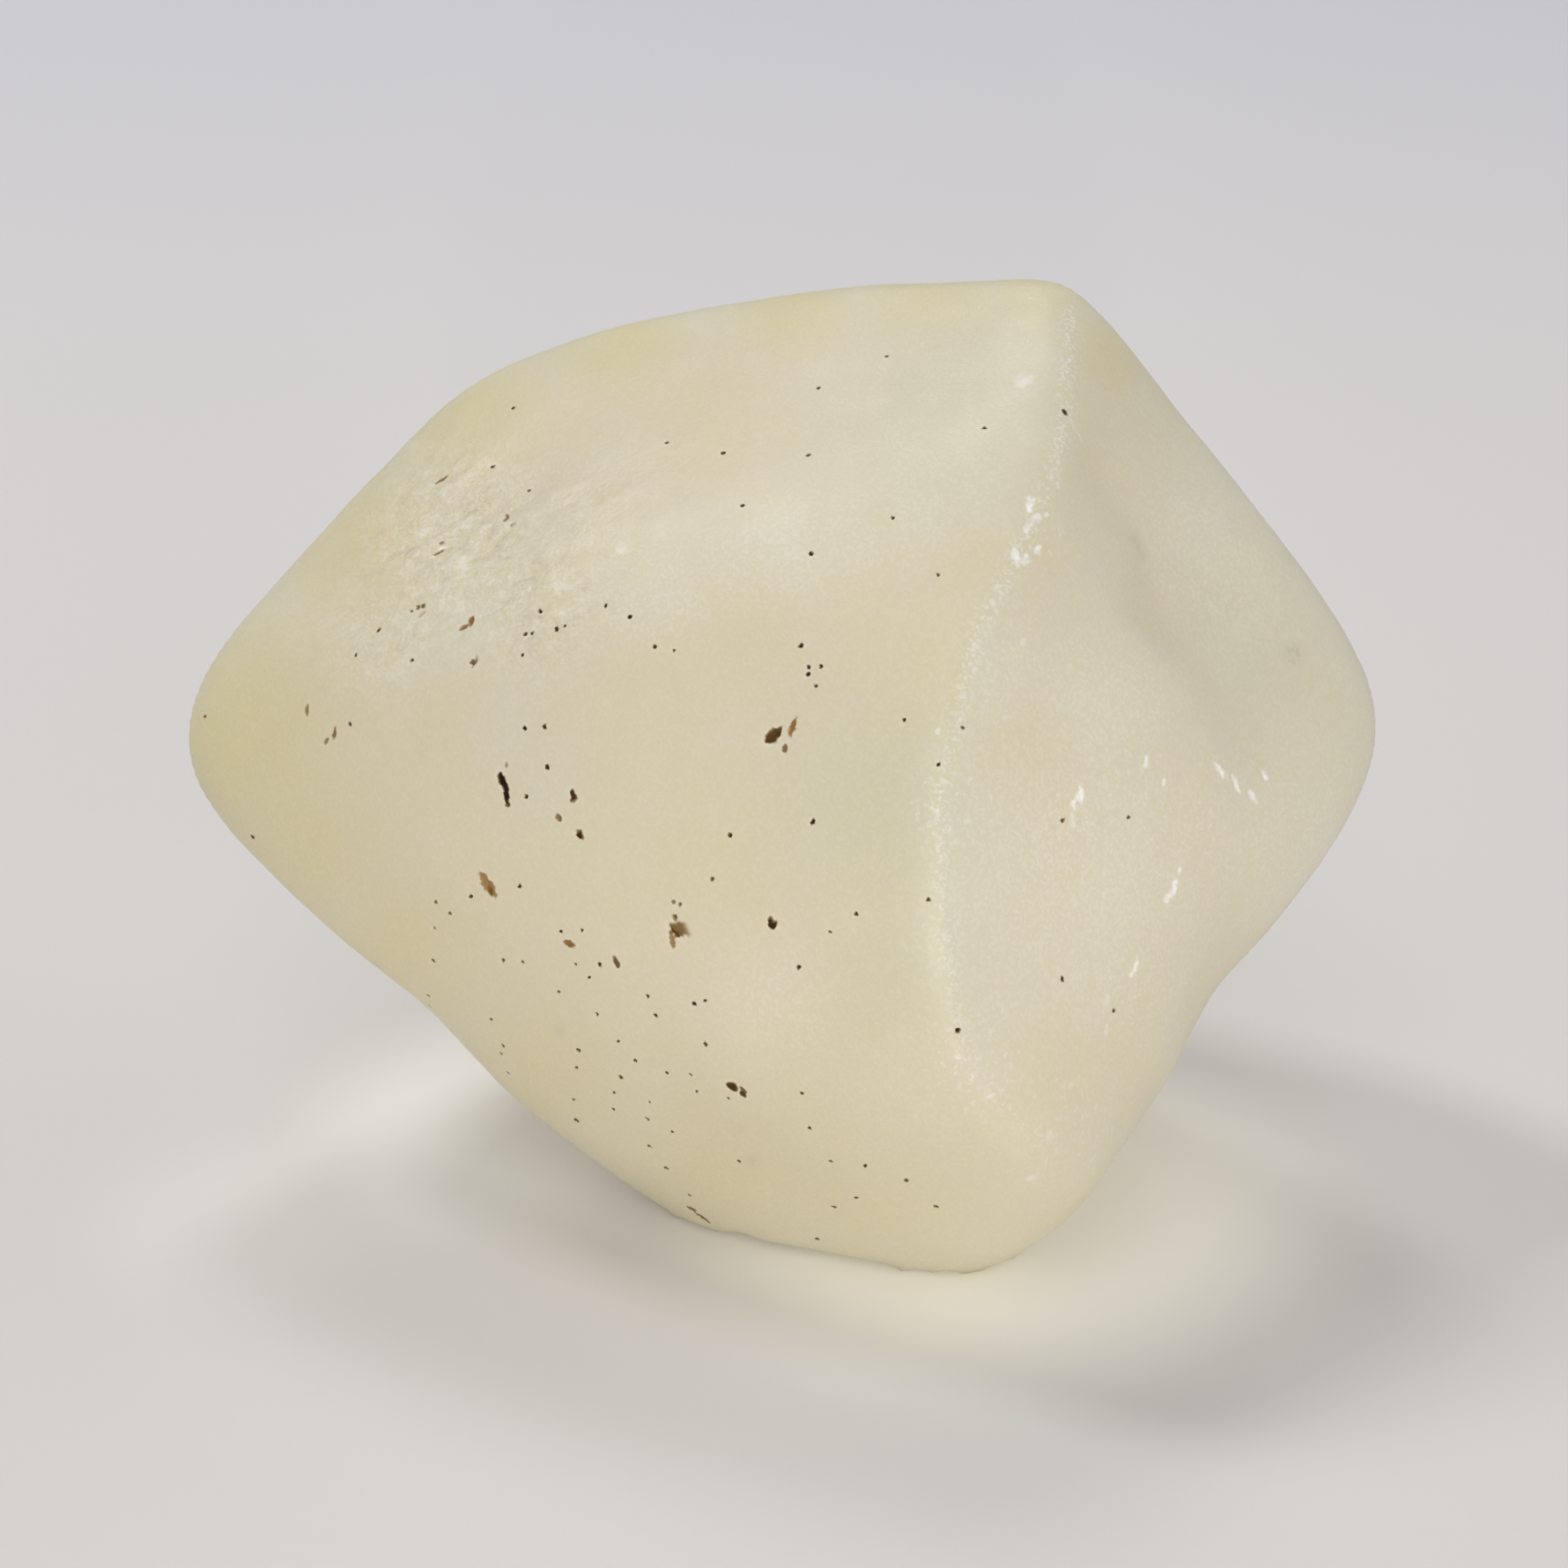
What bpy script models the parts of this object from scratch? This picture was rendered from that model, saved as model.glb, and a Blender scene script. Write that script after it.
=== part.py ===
# Raw desert glass: one natural stone, worn by sand, that rests on a small flat of its own.
# Lengths are in millimetres while the stone is shaped: x to the right, y to the back, z up.

import math
import random

import bmesh
import bpy
from mathutils import Vector, noise
from mathutils.bvhtree import BVHTree

MM = 0.001
NAME = "desert_glass"

# The stone is seen from the front by an eye above it. A place on that side is given as
# (across, up), measured at real size in the picture plane through the stone's middle.
EYE_DISTANCE = 99.2
EYE_ELEVATION = math.radians(25.0)
MIDDLE = Vector((0.0, 0.0, 10.5))
FORWARD = Vector((0.0, math.cos(EYE_ELEVATION), -math.sin(EYE_ELEVATION)))
RIGHT = Vector((1.0, 0.0, 0.0))
UP = Vector((0.0, math.sin(EYE_ELEVATION), math.cos(EYE_ELEVATION)))

# Corners of the block before its edges are worn round.
CORNERS = {
    "left tip, high": (-16.8, 1.3, 12.0),
    "left tip, low": (-16.9, 0.8, 10.4),
    "left tip, near": (-15.0, -0.5, 11.8),
    "shoulder": (-9.0, 7.1, 19.7),
    "temple": (-6.0, 1.5, 19.4),
    "crown, left": (-4.6, 7.1, 21.6),
    "crown, middle": (0.8, 6.3, 22.6),
    "top corner": (7.4, 4.4, 23.2),
    "ridge, 1": (7.2, 2.6, 22.8),
    "ridge, 2": (6.9, -1.4, 21.1),
    "ridge, 3": (6.2, -3.8, 19.9),
    "ridge, 4": (5.4, -5.2, 18.9),
    "ridge, 5": (4.4, -6.8, 17.4),
    "ridge, 6": (3.8, -8.3, 15.7),
    "ridge, 7": (3.5, -9.4, 14.0),
    "ridge, 8": (3.5, -10.3, 12.0),
    "ridge, 9": (3.9, -11.0, 9.8),
    "ridge, 10": (4.5, -11.2, 7.5),
    "ridge, 11": (6.2, -10.5, 5.3),
    "ridge, 12": (7.5, -9.1, 3.4),
    "fold, 1": (7.8, -1.1, 20.4),
    "fold, 2": (8.7, -3.6, 18.4),
    "fold, 3": (9.5, -4.5, 16.9),
    "fold, 4": (10.6, -4.9, 14.6),
    "fold, 5": (11.9, -4.5, 12.7),
    "fold, 6": (13.4, -3.1, 11.8),
    "right brow": (12.4, 3.2, 18.6),
    "right tip, high": (16.9, 0.4, 12.2),
    "right tip, low": (16.9, 0.1, 11.0),
    "right cheek": (11.3, -3.3, 6.9),
    "right heel": (8.3, -5.6, 1.6),
    "brow, 1": (-9.5, -2.1, 15.9),
    "brow, 2": (-5.3, -3.1, 17.7),
    "brow, 3": (-0.7, -4.0, 19.2),
    "brow, 4": (2.6, -4.0, 19.9),
    "keel, 1": (-6.6, -5.5, 13.8),
    "keel, 2": (-4.9, -7.7, 10.2),
    "keel, 3": (-3.7, -8.5, 8.4),
    "keel, 4": (-1.7, -9.0, 5.2),
    "keel, 5": (0.2, -8.4, 2.3),
    "left belly": (-12.6, -1.9, 6.7),
    "left under": (-8.5, -3.6, 4.7),
    "left heel": (-4.3, -5.4, 1.2),
    "toe, 1": (-2.5, -5.6, -0.6),
    "toe, 2": (1.6, -7.0, -0.6),
    "toe, 3": (4.4, -8.0, -0.5),
    "toe, 4": (6.1, -7.0, -0.5),
    "back, left": (-12.0, 6.0, 11.5),
    "back, top left": (-6.0, 10.7, 14.6),
    "back, top right": (6.0, 9.7, 16.2),
    "back, middle": (0.5, 11.9, 10.2),
    "back, right": (11.8, 6.4, 11.5),
    "back, low left": (-7.0, 8.0, 4.6),
    "back, low right": (7.5, 7.0, 4.8),
    "heel, back left": (-3.2, 3.4, -0.6),
    "heel, back right": (4.8, 3.6, -0.6),
}
CORE = Vector((0.0, 0.0, 11.0))
RIDGE_CORNERS = 12

# Facets that turn by less than this are one facet, and each stands out a little further,
# because rounding takes the edges back in.
FACET_TURN = math.radians(5.0)
FACET_ALLOWANCE = 0.35
# How crisp the worn edges are: a higher number is a sharper edge.
SOFT_EDGE = 24.0
RIDGE_EDGE = 75.0
RIDGE_REACH = 2.4

# Long slow waves that wear leaves all over.
WAVE_LENGTH = 5.5
WAVE_HEIGHT = 0.16

# Shallow hollows on the seen side: start, end, half width, depth.
SEEN_HOLLOWS = (
    ((9.0, 8.6), (10.9, 5.6), 1.4, 0.45),
    ((11.3, 5.0), (13.5, 2.2), 1.6, 0.9),
    ((13.6, 1.6), (14.8, 1.0), 1.2, 0.3),
    ((12.2, -5.4), (12.4, -4.6), 2.0, 0.7),
    ((-9.8, -6.0), (-9.2, -6.4), 1.7, 0.2),
    ((2.7, 0.6), (2.5, -2.6), 1.2, 0.28),
    ((0.3, -10.4), (0.8, -12.3), 0.7, 0.22),
    ((-3.2, -7.6), (-1.6, -10.4), 1.0, 0.18),
    ((-8.0, 6.8), (-6.8, 8.6), 1.3, 0.25),
    ((-10.8, 3.6), (-8.6, 4.6), 0.8, 0.2),
)
# Hollows on the sides that face away, given by places near the surface.
FAR_HOLLOWS = (
    ((-7.0, 10.0, 10.5), (-3.0, 11.5, 8.0), 3.2, 0.8),
    ((6.0, 11.0, 13.0), (8.5, 8.5, 8.5), 2.6, 0.7),
    ((-9.5, 2.0, 5.0), (-6.0, 4.5, 2.5), 2.2, 0.5),
    ((10.0, 3.0, 5.5), (8.0, 0.5, 2.5), 2.0, 0.45),
    ((-2.0, 10.5, 17.5), (2.5, 10.2, 18.5), 1.6, 0.4),
)

# Open bubbles and dirt pits on the seen side: across, up, width, length, turn in degrees.
SEEN_PITS = (
    (-7.5, -0.2, 0.24, 0.85, -75),
    (-7.9, -2.7, 0.42, 0.60, -70),
    (-2.9, -3.9, 0.45, 0.70, -80),
    (-0.3, 1.2, 0.45, 0.70, -30),
    (0.0, 1.5, 0.30, 0.50, -40),
    (0.3, 1.6, 0.25, 0.30, 0),
    (-1.4, -8.1, 0.25, 0.45, -60),
    (-1.1, -8.2, 0.22, 0.40, -70),
    (-0.3, -3.8, 0.26, 0.30, 0),
    (-2.3, -11.5, 0.22, 0.60, -42),
    (-5.8, -4.3, 0.24, 0.30, 0),
    (-4.5, -4.7, 0.22, 0.30, 0),
    (-5.7, -0.3, 0.22, 0.25, 0),
    (-5.5, -1.4, 0.22, 0.25, 0),
    (-7.4, 7.1, 0.26, 0.42, -70),
    (-8.4, 4.3, 0.42, 0.45, 20),
    (-9.2, 8.1, 0.22, 0.34, 20),
    (-9.2, 6.3, 0.25, 0.32, 20),
    (-9.7, 4.8, 0.30, 0.50, 10),
    (-8.3, 3.3, 0.36, 0.40, 0),
    (-12.7, 2.0, 0.24, 0.35, -70),
    (-12.1, 1.3, 0.24, 0.40, 45),
    (7.5, 9.9, 0.26, 0.30, 0),
    (4.7, 1.5, 0.26, 0.30, -60),
)
PIT_DEPTH = 0.8
# Pits on the sides that face away: how many, how wide, how much longer than wide, how far their
# places must face away, and how high they start above the table.
FAR_PITS = 22
FAR_PIT_WIDTH = (0.3, 0.6)
FAR_PIT_STRETCH = 1.3
FAR_PIT_FACING = 0.1
FAR_PIT_LOWEST = 1.0
FAR_PIT_SEED = 11
# A pit only sinks places that are nearer than this, and its bowl closes within the other one.
PIT_NEAR = 1.5
PIT_BOWL = 5.0

# The mesh is split until its edges bend less than this and pits have enough points.
BALL_SUBDIVISIONS = 4
MAX_BEND = math.radians(13.0)
SHORTEST_BENT_EDGE = 0.55
PIT_GRADING = 1.6
SPLIT_PASSES = 4
# Points nearer than this to the flat are moved onto it.
FLAT_MERGE = 0.03

GLASS_COLOUR = (0.66, 0.61, 0.42, 1.0)
GLASS_ROUGHNESS = 0.45


def clear_scene():
    for item in list(bpy.data.objects):
        bpy.data.objects.remove(item, do_unlink=True)


def block_facets():
    # The block is the hull of the corners; each facet is kept as a normal and a distance.
    bm = bmesh.new()
    for corner in CORNERS.values():
        bm.verts.new(corner)
    bmesh.ops.convex_hull(bm, input=bm.verts)
    bmesh.ops.dissolve_limit(bm, angle_limit=FACET_TURN, verts=bm.verts, edges=bm.edges)
    facets = []
    for face in bm.faces:
        face.normal_update()
        distance = face.normal.dot(face.calc_center_median() - CORE)
        facets.append((face.normal.copy(), distance + FACET_ALLOWANCE))
    bm.free()
    return facets


def segment_distance(point, start, end):
    run = end - start
    share = (point - start).dot(run) / run.length_squared
    return (point - start - run * min(max(share, 0.0), 1.0)).length


def soft_radius(direction, facets, edge):
    # How far the nearest facet is along a direction, blended where facets meet.
    total = 0.0
    for normal, distance in facets:
        total += max(normal.dot(direction) / distance, 0.0) ** edge
    return total ** (-1.0 / edge)


def worn_place(direction, facets, ridge):
    # A place on the worn block, sharper along the main ridge, with slow waves.
    rough = CORE + direction * soft_radius(direction, facets, SOFT_EDGE)
    near = min(segment_distance(rough, a, b) for a, b in zip(ridge, ridge[1:]))
    edge = SOFT_EDGE * (RIDGE_EDGE / SOFT_EDGE) ** math.exp(-(near / RIDGE_REACH) ** 2)
    place = CORE + direction * soft_radius(direction, facets, edge)
    return place + direction * WAVE_HEIGHT * noise.noise(place / WAVE_LENGTH)


def worn_ball(facets, ridge, subdivisions):
    bm = bmesh.new()
    bmesh.ops.create_icosphere(bm, subdivisions=subdivisions, radius=1.0)
    for vert in bm.verts:
        vert.co = worn_place(vert.co.normalized(), facets, ridge)
    return bm


def seen_place(tree, across, up):
    eye = MIDDLE - FORWARD * EYE_DISTANCE
    aim = MIDDLE + RIGHT * across + UP * up
    place, normal, _, _ = tree.ray_cast(eye, (aim - eye).normalized())
    if place is None:
        place, normal, _, _ = tree.find_nearest(aim)
    return place, normal


def all_hollows(tree):
    hollows = []
    for start, end, half_width, depth in SEEN_HOLLOWS:
        hollows.append((seen_place(tree, *start)[0], seen_place(tree, *end)[0], half_width, depth))
    for start, end, half_width, depth in FAR_HOLLOWS:
        low = tree.find_nearest(Vector(start))[0]
        high = tree.find_nearest(Vector(end))[0]
        hollows.append((low, high, half_width, depth))
    return hollows


def all_pits(tree):
    # Each pit is its middle, its long and short directions with half sizes, and its depth.
    pits = []
    for across, up, width, length, turn in SEEN_PITS:
        place, normal = seen_place(tree, across, up)
        angle = math.radians(turn)
        grain = RIGHT * math.cos(angle) + UP * math.sin(angle)
        pits.append(new_pit(place, normal, grain, width, length))
    draw = random.Random(FAR_PIT_SEED)
    while len(pits) < len(SEEN_PITS) + FAR_PITS:
        direction = Vector((draw.gauss(0, 1), draw.gauss(0, 1), draw.gauss(0, 1))).normalized()
        width = draw.uniform(*FAR_PIT_WIDTH)
        place, normal, _, _ = tree.ray_cast(CORE, direction)
        if normal.dot(FORWARD) > FAR_PIT_FACING and place.z > FAR_PIT_LOWEST:
            pits.append(new_pit(place, normal, normal.orthogonal(), width, width * FAR_PIT_STRETCH))
    return pits


def new_pit(place, normal, grain, width, length):
    along = (grain - normal * grain.dot(normal)).normalized()
    side = normal.cross(along)
    return place, along / (0.5 * length), side / (0.5 * width), width * PIT_DEPTH


def pit_reach(pit, point):
    # 0 in the middle of the pit, 1 at its rim.
    middle, along, side, _ = pit
    offset = point - middle
    return math.hypot(offset.dot(along), offset.dot(side), offset.length / PIT_BOWL)


def carved(place, direction, hollows, pits):
    # The worn place, sunk by the hollows and pits that reach it.
    sink = 0.0
    for start, end, half_width, depth in hollows:
        sink += depth * math.exp(-(segment_distance(place, start, end) / half_width) ** 2)
    for pit in pits:
        if (place - pit[0]).length < PIT_NEAR:
            sink += pit[3] * max(1.0 - pit_reach(pit, place) ** 2, 0.0)
    return place - direction * sink


def needs_split(edge, pits):
    # An edge in a pit is no longer than half the pit's width, and may grow away from it.
    length = edge.calc_length()
    start, end = edge.verts
    if start.normal.angle(end.normal, 0.0) > MAX_BEND and length > SHORTEST_BENT_EDGE:
        return True
    middle = (start.co + end.co) / 2
    for place, _, side, _ in pits:
        half_width = 1.0 / side.length
        distance = (middle - place).length
        if length > max(half_width, (distance - half_width) * PIT_GRADING):
            return True
    return False


def stone_mesh():
    facets = block_facets()
    ridge = [Vector(CORNERS["ridge, %d" % number]) for number in range(1, RIDGE_CORNERS + 1)]
    guide = worn_ball(facets, ridge, BALL_SUBDIVISIONS + 1)
    tree = BVHTree.FromBMesh(guide)
    guide.free()
    hollows = all_hollows(tree)
    pits = all_pits(tree)

    bm = worn_ball(facets, ridge, BALL_SUBDIVISIONS)
    for _ in range(SPLIT_PASSES):
        bm.normal_update()
        edges = [edge for edge in bm.edges if needs_split(edge, pits)]
        bmesh.ops.subdivide_edges(bm, edges=edges, cuts=1)
        bmesh.ops.triangulate(bm, faces=[face for face in bm.faces if len(face.verts) > 3])
        for vert in bm.verts:
            vert.co = worn_place((vert.co - CORE).normalized(), facets, ridge)
    for vert in bm.verts:
        direction = (vert.co - CORE).normalized()
        vert.co = carved(vert.co, direction, hollows, pits)
    return bm


def cut_flat(bm):
    # The small flat that the stone rests on, at height zero.
    geometry = bm.verts[:] + bm.edges[:] + bm.faces[:]
    cut = bmesh.ops.bisect_plane(
        bm, geom=geometry, dist=FLAT_MERGE, plane_co=(0, 0, 0), plane_no=(0, 0, 1), clear_inner=True
    )
    rim = [item for item in cut["geom_cut"] if isinstance(item, bmesh.types.BMEdge)]
    for edge in rim:
        for vert in edge.verts:
            vert.co.z = 0.0
    flat = bmesh.ops.contextual_create(bm, geom=rim)["faces"]
    bmesh.ops.triangulate(bm, faces=flat)


def stand_on_origin(bm):
    # The middle of the box stands over the origin, and the flat is at height zero.
    low = Vector([min(vert.co[axis] for vert in bm.verts) for axis in range(3)])
    high = Vector([max(vert.co[axis] for vert in bm.verts) for axis in range(3)])
    middle = (low + high) / 2
    bmesh.ops.translate(bm, vec=(-middle.x, -middle.y, -low.z), verts=bm.verts)
    bmesh.ops.scale(bm, vec=(MM, MM, MM), verts=bm.verts)


def glass_material():
    material = bpy.data.materials.new(NAME)
    material.use_nodes = True
    shader = material.node_tree.nodes["Principled BSDF"]
    shader.inputs["Base Color"].default_value = GLASS_COLOUR
    shader.inputs["Roughness"].default_value = GLASS_ROUGHNESS
    shader.inputs["Metallic"].default_value = 0.0
    return material


def build_stone():
    bm = stone_mesh()
    cut_flat(bm)
    stand_on_origin(bm)
    bmesh.ops.recalc_face_normals(bm, faces=bm.faces)
    mesh = bpy.data.meshes.new(NAME)
    bm.to_mesh(mesh)
    bm.free()
    mesh.shade_smooth()
    mesh.materials.append(glass_material())
    stone = bpy.data.objects.new(NAME, mesh)
    collection = bpy.data.collections.new("Raw desert glass")
    bpy.context.scene.collection.children.link(collection)
    collection.objects.link(stone)


clear_scene()
build_stone()
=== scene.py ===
import math
import random

import bmesh
import bpy
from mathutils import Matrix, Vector, kdtree, noise
from mathutils.bvhtree import BVHTree


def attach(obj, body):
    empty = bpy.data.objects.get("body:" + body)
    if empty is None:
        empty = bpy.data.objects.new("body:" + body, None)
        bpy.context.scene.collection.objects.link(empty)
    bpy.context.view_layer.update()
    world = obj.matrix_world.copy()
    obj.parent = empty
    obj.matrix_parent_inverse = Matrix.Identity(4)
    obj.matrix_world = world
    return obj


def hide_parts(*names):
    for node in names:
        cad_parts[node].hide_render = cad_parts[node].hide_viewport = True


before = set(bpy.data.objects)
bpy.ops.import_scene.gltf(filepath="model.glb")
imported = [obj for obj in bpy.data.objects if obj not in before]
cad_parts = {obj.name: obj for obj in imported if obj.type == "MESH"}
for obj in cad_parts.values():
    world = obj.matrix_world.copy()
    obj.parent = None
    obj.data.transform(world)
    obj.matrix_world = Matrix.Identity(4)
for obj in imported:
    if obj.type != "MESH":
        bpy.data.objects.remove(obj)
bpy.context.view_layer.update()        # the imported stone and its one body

mm = 0.001
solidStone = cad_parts["desert_glass"]

# The camera. Places on the seen side of the stone are given as (across, up), in mm at real
# size, in the picture plane through the camera's target.
photoCamera = {
    "target": Vector((0.116, -0.016, 10.5)),   # mm
    "distance": 99.2,                          # mm
    "elevation": 25.0,                         # degrees
    "lens": 85.0,
    "sensor": 36.0,
    "clip": (0.005, 5.0),                      # metres
}

lookUp = math.radians(photoCamera["elevation"])
lookAlong = Vector((0.0, math.cos(lookUp), -math.sin(lookUp)))
pictureRight = Vector((1.0, 0.0, 0.0))
pictureUp = Vector((0.0, math.sin(lookUp), math.cos(lookUp)))
eye = photoCamera["target"] - lookAlong * photoCamera["distance"]


def addCamera():
    lens = bpy.data.cameras.new("photoCamera")
    lens.lens = photoCamera["lens"]
    lens.sensor_width = photoCamera["sensor"]
    lens.clip_start, lens.clip_end = photoCamera["clip"]
    camera = bpy.data.objects.new("photoCamera", lens)
    camera.location = eye * mm
    camera.rotation_euler = lookAlong.to_track_quat("-Z", "Y").to_euler()
    bpy.context.scene.collection.objects.link(camera)
    bpy.context.scene.camera = camera
    print("camera placed", round(photoCamera["distance"]), "mm from the stone")


def seenPlace(tree, across, up):
    aim = photoCamera["target"] + pictureRight * across + pictureUp * up
    place, normal, _, _ = tree.ray_cast(eye, (aim - eye).normalized())
    if place is None:                          # just past the outline
        place, normal, _, _ = tree.find_nearest(aim)
    return place, normal


def picturePlace(point):
    # Where a point shows in the picture, as (across, up) in mm.
    ray = point - eye
    ray = ray * photoCamera["distance"] / ray.dot(lookAlong)
    return ray.dot(pictureRight), ray.dot(pictureUp)


# The fine stone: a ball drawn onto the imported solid, then worn, pitted and chipped.
stoneForm = {
    "core": Vector((0.116, -0.016, 11.0)),     # mm, the solid is seen whole from here
    "mergeDistance": 0.002,
    "guideLevels": 2,                          # smoothing of the solid's own facets
    "ballSubdivisions": 7,                     # edges of about 0.22 mm
    "smoothPasses": 3,
    "healPasses": 60,
    "healReach": 1.2,                          # times a pit's half length
    "healMargin": 0.25,
    "flatHeight": 0.03,
    "gentleWaves": ((2.6, 0.035), (1.1, 0.014), (0.5, 0.007)),   # wave length, height
    "roughWaves": ((0.9, 0.16), (0.45, 0.11), (0.24, 0.05)),
    "roughStretch": (0.55, 1.6),               # along the brow, across it
    "roughSlope": 22.0,                        # degrees up to the right
    "crestWaves": (0.25, 0.03),                # along the chipped ridge
    "crestWidth": 0.22,
    "crestFade": 0.7,                          # how much less of it the lower end has
}

# Folds of the seen side, where two worn faces meet: the height in mm at both ends, below zero
# for a valley, how far it reaches to each side, how round it is and its line as (across, up).
folds = {
    "ridge": (0.17, 0.02, 1.5, 1.1, (
        (7.65, 12.60), (7.50, 9.61), (6.89, 7.50), (6.16, 5.99), (5.10, 3.89), (4.51, 1.51), (4.20, 0.00),
        (4.13, -1.79), (4.34, -4.51), (4.74, -6.61), (5.55, -8.26), (6.89, -9.61),
    )),
    "dish": (-0.16, -0.16, 1.9, 1.3, (
        (7.50, 9.00), (8.00, 7.50), (9.20, 5.20), (10.70, 2.90), (12.60, 0.90), (13.90, 0.10),
    )),
    "brow": (0.08, 0.12, 2.0, 2.0, (
        (-9.68, 4.20), (-4.48, 6.10), (-0.47, 7.30), (2.83, 8.20), (6.84, 8.90),
    )),
}
foldEnds = 0.12                                # share of a line over which it fades out

# Dirt in open bubbles and cracks on the seen side.
# across, up, width, length, turn, dirt, rust
dirtPits = {
    "slash, head": (-7.53, 0.08, 0.19, 0.44, -64, 1.0, 0.0),
    "slash, tail": (-7.42, -0.29, 0.13, 0.36, -88, 1.0, 0.0),
    "slash, end": (-7.40, -0.57, 0.10, 0.12, 0, 0.7, 0.0),
    "slash, start": (-7.43, 0.50, 0.09, 0.20, -85, 0.35, 0.0),
    "spoon": (-7.95, -2.67, 0.25, 0.64, -58, 0.25, 1.0),
    "spoon, low end": (-7.84, -2.88, 0.13, 0.22, -60, 0.95, 0.8),
    "flower": (-2.88, -3.89, 0.38, 0.38, 0, 0.55, 0.15),
    "flower, core": (-2.80, -4.04, 0.12, 0.24, -50, 1.0, 0.5),
    "flower, petal": (-3.00, -4.20, 0.13, 0.36, -82, 0.3, 0.9),
    "flower, dot 1": (-2.89, -3.52, 0.11, 0.11, 0, 0.8, 0.0),
    "flower, dot 2": (-2.80, -3.23, 0.11, 0.11, 0, 0.7, 0.0),
    "flower, dot 3": (-2.98, -3.16, 0.10, 0.10, 0, 0.5, 0.0),
    "cluster, big": (-0.35, 1.17, 0.22, 0.40, 50, 0.9, 0.3),
    "cluster, top": (-0.13, 1.38, 0.14, 0.27, 70, 0.8, 0.3),
    "cluster, right": (0.02, 0.96, 0.12, 0.26, 80, 0.6, 0.1),
    "cluster, link": (-0.11, 1.13, 0.12, 0.20, -30, 0.4, 0.2),
    "cluster, rust": (0.32, 1.62, 0.12, 0.27, 72, 0.7, 1.0),
    "pair, left": (-1.40, -8.10, 0.14, 0.28, -38, 1.0, 0.2),
    "pair, right": (-1.03, -8.17, 0.13, 0.22, -55, 0.7, 0.0),
    "pair, low": (-1.09, -8.33, 0.13, 0.20, -50, 0.85, 0.0),
    "dash, upper": (-2.47, -11.36, 0.13, 0.24, -25, 0.7, 0.0),
    "dash, lower": (-2.19, -11.62, 0.12, 0.40, -45, 0.8, 0.1),
    "rust slash": (-5.75, -4.28, 0.15, 0.30, -20, 0.6, 1.0),
    "wedge": (-4.49, -4.77, 0.13, 0.30, -65, 0.7, 0.0),
    "seed 1": (-5.65, -0.25, 0.13, 0.24, -80, 1.0, 0.15),
    "seed 2": (-5.47, -1.42, 0.13, 0.20, -52, 1.0, 0.1),
    "seed 3": (-6.06, -0.90, 0.15, 0.22, -52, 0.5, 0.0),
    "seed 4": (-0.32, -3.79, 0.15, 0.27, -55, 1.0, 0.1),
    "brow comma": (-7.43, 7.10, 0.14, 0.34, -75, 0.5, 0.1),
    "brow comma, foot": (-7.28, 6.89, 0.13, 0.14, 0, 0.3, 0.0),
    "crescent, tip": (-8.31, 4.32, 0.15, 0.27, 72, 0.6, 0.9),
    "crescent, foot": (-8.53, 4.14, 0.12, 0.34, 6, 0.4, 0.8),
    "brow dash 1": (-9.14, 8.14, 0.13, 0.40, 30, 0.4, 0.3),
    "brow dash 2": (-9.18, 6.47, 0.12, 0.16, 10, 0.4, 0.0),
    "brow dash 3": (-9.27, 6.23, 0.09, 0.36, 15, 0.5, 0.1),
    "trio, left": (-9.82, 4.77, 0.12, 0.13, 0, 0.6, 0.1),
    "trio, right": (-9.68, 4.77, 0.12, 0.13, 0, 0.6, 0.1),
    "trio, far": (-10.01, 4.66, 0.10, 0.12, 0, 0.4, 0.0),
    "trio, foot": (-9.70, 4.55, 0.10, 0.30, 35, 0.25, 0.0),
    "ring, core": (-8.33, 3.23, 0.14, 0.16, 0, 0.6, 0.0),
    "ring, edge": (-8.22, 3.15, 0.13, 0.26, 60, 0.35, 0.0),
    "left dash": (-12.00, 1.40, 0.11, 0.24, 78, 0.55, 0.1),
    "left dash, foot": (-12.26, 1.14, 0.11, 0.20, 45, 0.4, 0.1),
    "left line": (-12.77, 1.98, 0.11, 0.32, 88, 0.4, 0.4),
    "ridge pit": (7.46, 9.94, 0.12, 0.18, -75, 0.85, 0.1),
    "cheek hook": (4.71, 1.58, 0.10, 0.17, -10, 0.85, 0.1),
    "cheek hook, foot": (4.81, 1.48, 0.10, 0.14, -50, 0.8, 0.1),
}

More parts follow.
